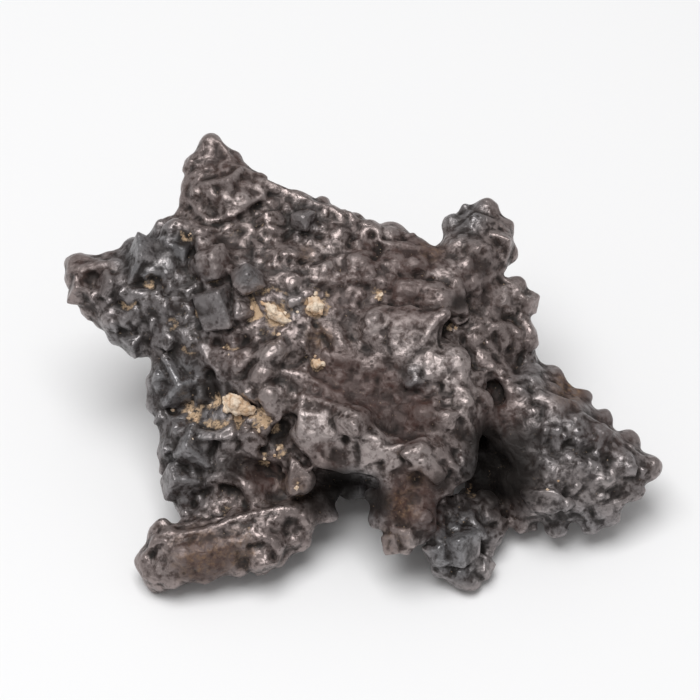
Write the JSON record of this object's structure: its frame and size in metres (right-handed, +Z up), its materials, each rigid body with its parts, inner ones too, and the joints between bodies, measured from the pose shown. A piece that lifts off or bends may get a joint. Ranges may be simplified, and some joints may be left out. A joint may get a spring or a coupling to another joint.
{
  "type": "prophecy stone",
  "caption": "Prophecy stone: a star-shaped cluster of iron-oxide crystals with blunt arms, standing on its lowest tips, with bits of chalk in its pits.",
  "frame": {"origin": "middle of the cluster's plan box, on the surface that it rests on", "axes": "+X to the right along the cluster's longest extent, +Y away from the side that its broad face looks out to, +Z up"},
  "size_m": [0.0924, 0.0624, 0.0391],
  "materials": {
    "iron_oxide": "satin dark brown to blue-grey",
    "chalk": "matt, chalky"
  },
  "bodies": {
    "root": {"stone": "iron_oxide", "chalk_chip_main": "chalk", "chalk_chip_upper": "chalk", "chalk_chip_middle": "chalk", "chalk_chip_ridge": "chalk"}
  },
  "joints": []
}
